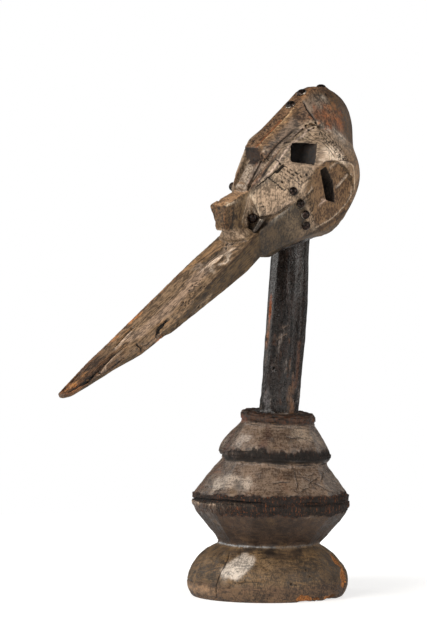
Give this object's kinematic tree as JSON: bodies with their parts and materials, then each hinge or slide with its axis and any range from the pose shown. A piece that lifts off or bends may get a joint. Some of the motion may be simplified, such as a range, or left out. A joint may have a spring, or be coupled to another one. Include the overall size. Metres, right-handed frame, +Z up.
{
  "type": "carved shrine figure on a plinth",
  "caption": "Bird-like spirit head with a long beak, crest and domed studs, on a post neck carved in one with its tiered round plinth.",
  "frame": {"origin": "middle of the foot's flat underside", "axes": "+Z up from the ground, -Y towards the beak, +X towards the figure's own left side"},
  "size_m": [0.1965, 0.4561, 0.5978],
  "materials": {
    "wood": "worn, dark patina, polished on the neck and plinth",
    "stud_metal": "dark tarnished metal, rubbed shiny on the domes"
  },
  "bodies": {
    "root": {"tshol_carving": "wood", "crest_stud_front": "stud_metal", "crest_stud_middle": "stud_metal", "crest_stud_rear": "stud_metal", "cheek_stud_left_1": "stud_metal", "cheek_stud_left_2": "stud_metal", "cheek_stud_left_3": "stud_metal", "cheek_stud_left_4": "stud_metal", "cheek_stud_right_1": "stud_metal", "cheek_stud_right_2": "stud_metal", "cheek_stud_right_3": "stud_metal", "cheek_stud_right_4": "stud_metal", "eye_stud_left": "stud_metal", "eye_stud_right": "stud_metal", "eye_peg_left": "stud_metal", "eye_peg_right": "stud_metal"}
  },
  "joints": []
}
